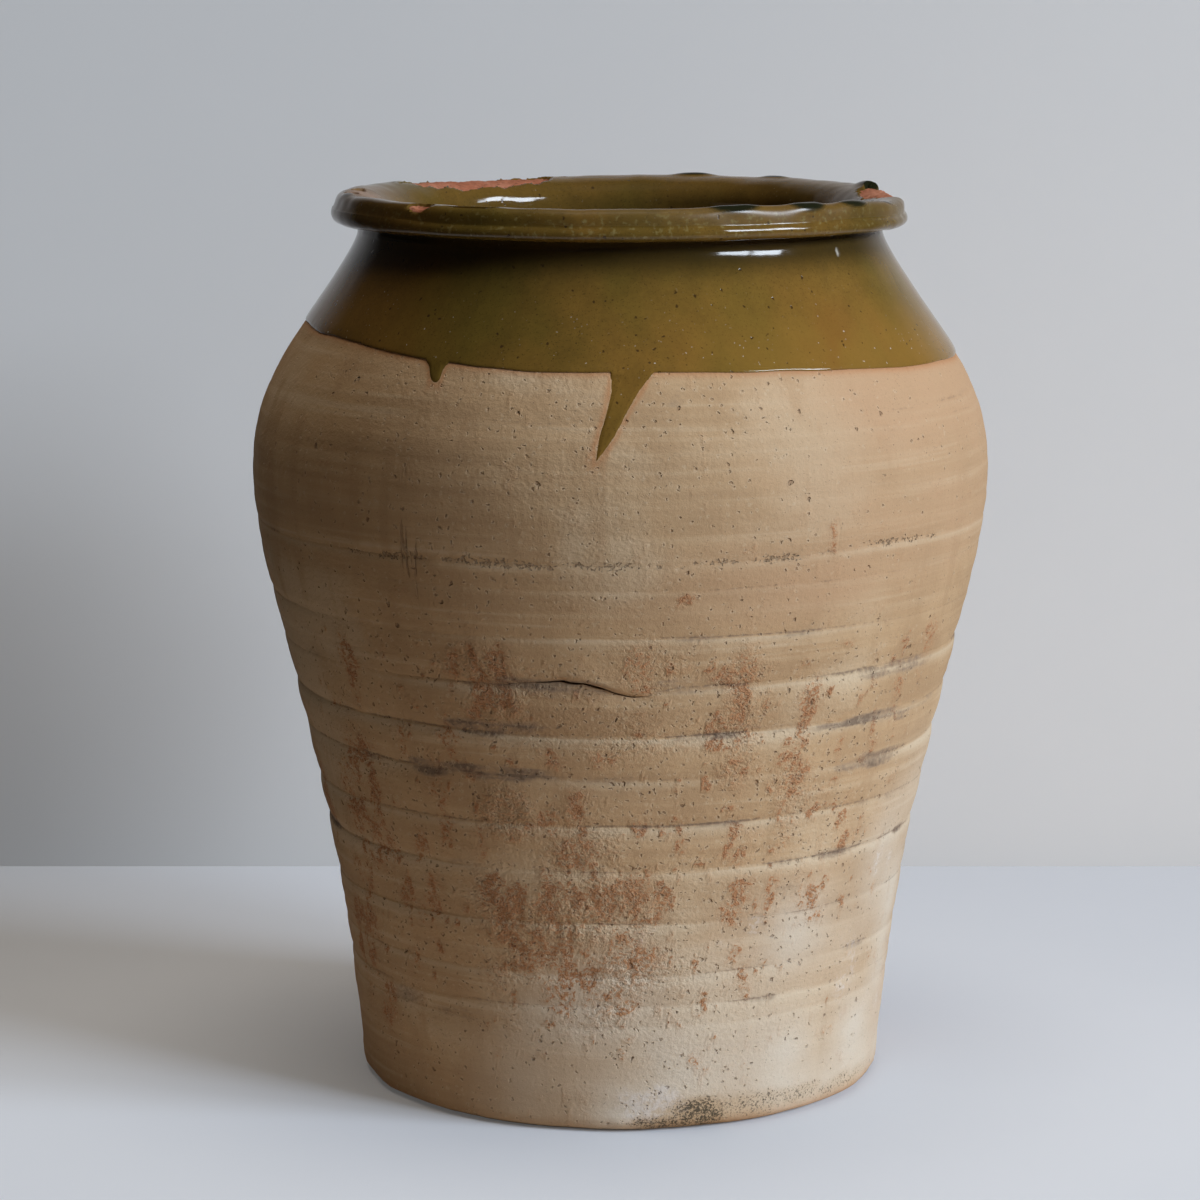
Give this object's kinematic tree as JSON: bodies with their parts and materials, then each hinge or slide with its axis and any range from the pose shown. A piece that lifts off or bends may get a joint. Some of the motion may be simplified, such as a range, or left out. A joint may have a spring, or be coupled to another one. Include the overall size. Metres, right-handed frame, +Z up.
{
  "type": "confit jar",
  "caption": "Round-bellied earthenware storage jar with a slab floor, coursed wall, rolled rim, glazed lining and a dipped glaze collar that has run down the bare shoulder.",
  "frame": {"origin": "middle of the flat underside", "axes": "+Z up along the jar's axis, -Y towards the front where the long run of glaze hangs, +X to the right as seen from the front"},
  "size_m": [0.3316, 0.3316, 0.4001],
  "materials": {
    "slipped_clay": "dry buff slip over red earthenware, pitted and flaking",
    "red_clay": "bare fired red earthenware, rough",
    "olive_glaze": "glossy olive-brown lead glaze"
  },
  "bodies": {
    "root": {"floor_slab": "red_clay", "lower_wall": "slipped_clay", "middle_wall": "slipped_clay", "shoulder_wall": "slipped_clay", "rim": "red_clay", "glaze_collar": "olive_glaze", "glaze_lining": "olive_glaze"}
  },
  "joints": []
}
